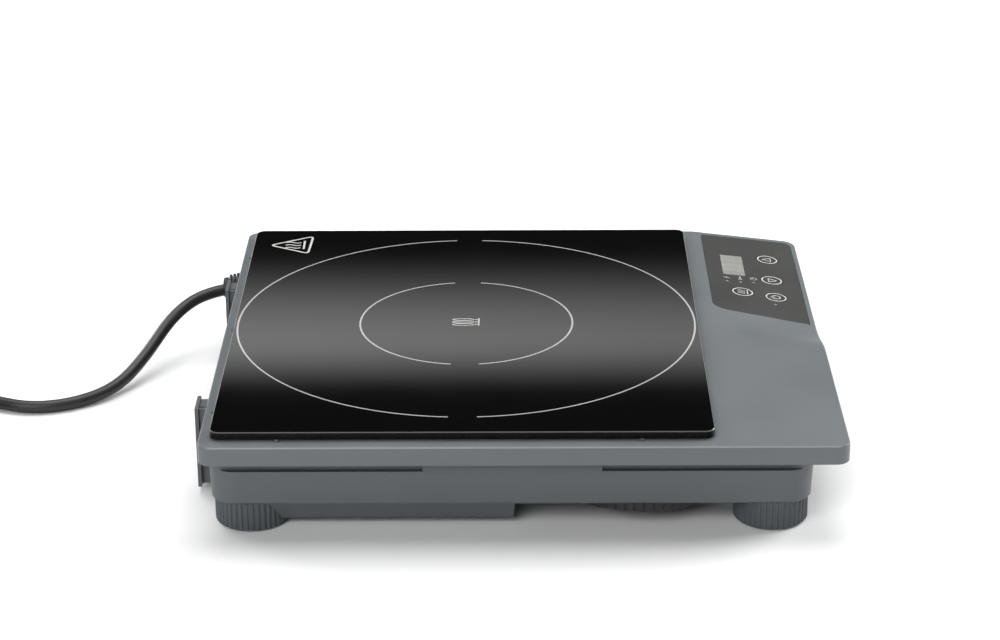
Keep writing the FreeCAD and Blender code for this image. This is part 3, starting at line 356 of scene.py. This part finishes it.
def on_console(spot):
    return CONSOLE_BACK + CONSOLE_TURN @ (Vector(spot) * MM)


def on_glass(spot):
    return Vector(spot) * MM


def circle(middle, radius, start=0, end=360, steps=48):
    """Points along a circle, or along the part of one between two angles."""
    count = max(3, round(steps * (end - start) / 360))
    turns = [math.radians(start + (end - start) * index / count) for index in range(count + 1)]
    return [(middle[0] + radius * math.cos(turn), middle[1] + radius * math.sin(turn)) for turn in turns]


def wave(start, end, swing, waves=1.0, steps=24):
    """Points along a wavy line."""
    way = Vector(end) - Vector(start)
    side = Vector((-way.y, way.x)).normalized()
    made = []
    for index in range(steps + 1):
        share = index / steps
        made.append(tuple(Vector(start) + way * share + side * swing * math.sin(share * waves * 2 * math.pi)))
    return made


def rounded(corners, radius, steps=6):
    """A closed outline with each corner rounded."""
    made = []
    for index, corner in enumerate(corners):
        before, here = Vector(corners[index - 1]), Vector(corner)
        after = Vector(corners[(index + 1) % len(corners)])
        into, out = (here - before).normalized(), (after - here).normalized()
        reach = radius * math.tan(into.angle(out) / 2)
        first, last = here - into * reach, here + out * reach
        for step in range(steps + 1):
            share = step / steps
            made.append(tuple(first * (1 - share) ** 2 + here * 2 * share * (1 - share) + last * share ** 2))
    return made


def line(points, width, closed=False):
    """The two sides of a line of that width through the points."""
    if closed and (Vector(points[0]) - Vector(points[-1])).length < 1e-6:
        points = points[:-1]
    count = len(points)
    left, right = [], []
    for index, point in enumerate(points):
        here = Vector(point)
        before = Vector(points[index - 1]) if closed or index else here
        after = Vector(points[(index + 1) % count]) if closed or index < count - 1 else here
        into = (here - before).normalized() if before != here else (after - here).normalized()
        out = (after - here).normalized() if after != here else into
        way = (into + out).normalized()
        side = Vector((-way.y, way.x))
        reach = width / 2 / max(0.4, side.dot(Vector((-into.y, into.x))))
        left.append(here + side * reach)
        right.append(here - side * reach)
    return left, right, closed


def print_lines(name, lines, place, level, material, body):
    """One piece made of printed lines: place turns a flat spot and a level into a point of the frame."""
    corners, faces = [], []
    for left, right, closed in lines:
        start = len(corners)
        for a, b in zip(left, right):
            for side, height in ((a, level), (b, level), (b, level + INK), (a, level + INK)):
                corners.append(place((side.x, side.y, height)))
        count = len(left)
        for index in range(count if closed else count - 1):
            here, there = start + 4 * index, start + 4 * ((index + 1) % count)
            for edge in range(4):
                following = (edge + 1) % 4
                faces.append((here + edge, here + following, there + following, there + edge))
        if not closed:
            last = start + 4 * (count - 1)
            faces.append((start + 3, start + 2, start + 1, start))
            faces.append((last, last + 1, last + 2, last + 3))
    mesh = bpy.data.meshes.new(name)
    mesh.from_pydata(corners, [], faces)
    mesh.materials.append(material)
    piece = bpy.data.objects.new(name, mesh)
    bpy.context.scene.collection.objects.link(piece)
    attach(piece, body)
    return piece


def key_sign(node, middle):
    """The lines inside a key's ring."""
    u, v = middle
    if node == "key_up":
        return [line(rounded([(u - 2.7, v - 1.9), (u + 2.7, v - 1.9), (u, v + 3.1)], 0.4), 0.55, True)]
    if node == "key_down":
        return [line(rounded([(u - 2.7, v + 1.9), (u, v - 3.1), (u + 2.7, v + 1.9)], 0.4), 0.55, True)]
    if node == "key_power":
        arc = circle((u, v), 2.5, 120, 420)
        return [line(arc, 0.6), line([(u, v + 0.6), (u, v + 3.4)], 0.6)]
    waves = [line(wave((u + shift, v - 1.6), (u + shift, v + 2.9), 0.45), 0.5) for shift in (-2.0, 0, 2.0)]
    return waves + [line([(u - 3.1, v - 2.9), (u + 3.1, v - 2.9)], 0.55)]


def make_key_signs():
    for node in ("key_up", "key_down", "key_function", "key_power"):
        u, v, top = console_spot(node)
        lines = [line(circle((u, v), 5.85), 0.72, True)] + key_sign(node, (u, v))
        print_lines(node + "_sign", lines, on_console, top, PRINT, node)


def make_film_signs():
    """The small signs beside the lights: heat, level and time."""
    top = console_spot("control_film")[2]
    bolt = [line([(85.6, -15.4), (83.9, -17.3), (85.5, -17.3), (83.6, -19.4)], 0.45)]
    probe = [line(circle((83.9, -25.6), 0.95, steps=20), 0.4, True),
             line([(84.9, -25.6), (88.2, -25.6)], 0.75)]
    clock = [line(circle((86.6, -33.6), 1.95, steps=28), 0.42, True),
             line([(86.6, -32.3), (86.6, -33.6), (87.6, -33.6)], 0.4)]
    print_lines("film_signs", bolt + probe + clock, on_console, top, GREY_PRINT, "housing")


LOOP_PITCH = 3.6
LOOP_HALF_WIDTH = 1.35
LOOP_HALF_LENGTH = 6.2
LOOP_STEPS = 40
ZONE_BAR = -7.1
WARM_CORNERS = [(138.1, 122.7), (123.2, 148.0), (109.1, 124.1)]
WARM_WAVES = (118.8, 123.2, 127.6)


def make_glass_signs():
    """The three heating loops in the middle of the zone, and the warm-surface sign by the far corner."""
    low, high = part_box("glass_plate")
    top = high.z / MM
    x, y = (low.x + high.x) / 2 / MM, (low.y + high.y) / 2 / MM
    lines = []
    for shift in (-LOOP_PITCH, 0, LOOP_PITCH):
        turns = [2 * math.pi * step / LOOP_STEPS for step in range(LOOP_STEPS)]
        loop = [(x + shift + LOOP_HALF_WIDTH * math.sin(turn), y + 1.6 + LOOP_HALF_LENGTH * math.cos(turn))
                for turn in turns]
        lines.append(line(loop, 0.55, True))
        lines.append(line([(x + shift, y - 4.2), (x + shift, y + ZONE_BAR)], 0.8))
    lines.append(line([(x - 5.3, y + ZONE_BAR), (x + 5.3, y + ZONE_BAR)], 0.7))
    warm = [line(rounded(WARM_CORNERS, 2.2), 1.3, True), line([(130.3, 127.4), (116.7, 127.3)], 1.2)]
    warm += [line(wave((across, 129.4), (across, 138.6), 0.9), 1.1) for across in WARM_WAVES]
    print_lines("warm_sign", warm, on_glass, top, GLASS_PRINT, "housing")
    print_lines("zone_sign", lines, on_glass, top, GLASS_PRINT, "housing")


make_key_signs()
make_film_signs()
make_glass_signs()


# ---- studio: a pale floor, soft light from above and behind, and a card that the glass mirrors

def area_light(name, place, aim, size, power):
    data = bpy.data.lights.new(name, "AREA")
    data.shape = "RECTANGLE"
    data.size, data.size_y = size
    data.energy = power
    light = bpy.data.objects.new(name, data)
    light.location = place
    light.rotation_euler = (Vector(aim) - Vector(place)).to_track_quat("-Z", "Y").to_euler()
    bpy.context.scene.collection.objects.link(light)


def plane(name, corners, material):
    mesh = bpy.data.meshes.new(name)
    mesh.from_pydata(corners, [], [(0, 1, 2, 3)])
    mesh.materials.append(material)
    made = bpy.data.objects.new(name, mesh)
    bpy.context.scene.collection.objects.link(made)
    return made


def floor_finish():
    shader = Shader("floor")
    patches = shader.noise(0.4)
    share = shader.between(0, 1, patches)
    shader.feed("Base Color", shader.blend((0.88, 0.88, 0.88, 1), (0.9, 0.9, 0.9, 1), share))
    shader.feed("Roughness", 0.9)
    shader.feed("Specular IOR Level", 0.2)
    return shader.material


def card_finish():
    """A soft band of light on a dark card, brightest near its middle and a little weaker towards the user."""
    shader = Shader("card")
    split = shader.add("ShaderNodeSeparateXYZ", {"Vector": shader.place}).outputs
    rise = shader.between(0, 1, split["Z"], 1.17, 1.35, True)
    fall = shader.between(1, 0, split["Z"], 1.345, 1.445, True)
    across = shader.between(0.72, 1, split["Y"], -0.7, 0.7, True)
    glow = shader.math("MULTIPLY", shader.math("MULTIPLY", rise, fall), across)
    light = shader.add("ShaderNodeEmission", {"Strength": shader.math("MULTIPLY_ADD", glow, 1.2, 0.013)})
    output = shader.tree.nodes["Material Output"]
    shader.tree.links.new(light.outputs[0], output.inputs["Surface"])
    return shader.material


def make_studio():
    reach = 12
    corners = [(-reach, -reach, 0), (reach, -reach, 0), (reach, reach, 0), (-reach, reach, 0)]
    plane("floor", corners, floor_finish())
    card = plane("card", [(3, -5, 0.3), (3, 5, 0.3), (3, 5, 2.6), (3, -5, 2.6)], card_finish())
    card.visible_camera = False
    card.visible_diffuse = False
    card.visible_shadow = False
    area_light("overhead", (0.5, 0.1, 1.9), (0.05, 0, 0), (1.6, 1.5), 36)
    area_light("near_fill", (-1.9, 0.9, 1.35), (0, 0, 0.03), (1.5, 1.1), 33)
    area_light("back_glow", (1.1, 1.3, 0.7), (0, 0.1, 0.05), (0.8, 0.6), 13)
    area_light("console_light", (0.9, -1.9, 1.0), (0, -0.1, 0.04), (1.7, 0.9), 60)
    world = bpy.data.worlds.new("studio")
    world.use_nodes = True
    world.node_tree.nodes["Background"].inputs["Color"].default_value = (0.95, 0.97, 1.0, 1)
    world.node_tree.nodes["Background"].inputs["Strength"].default_value = 0.09
    bpy.context.scene.world = world
    bpy.context.scene.view_settings.view_transform = "Standard"


make_studio()
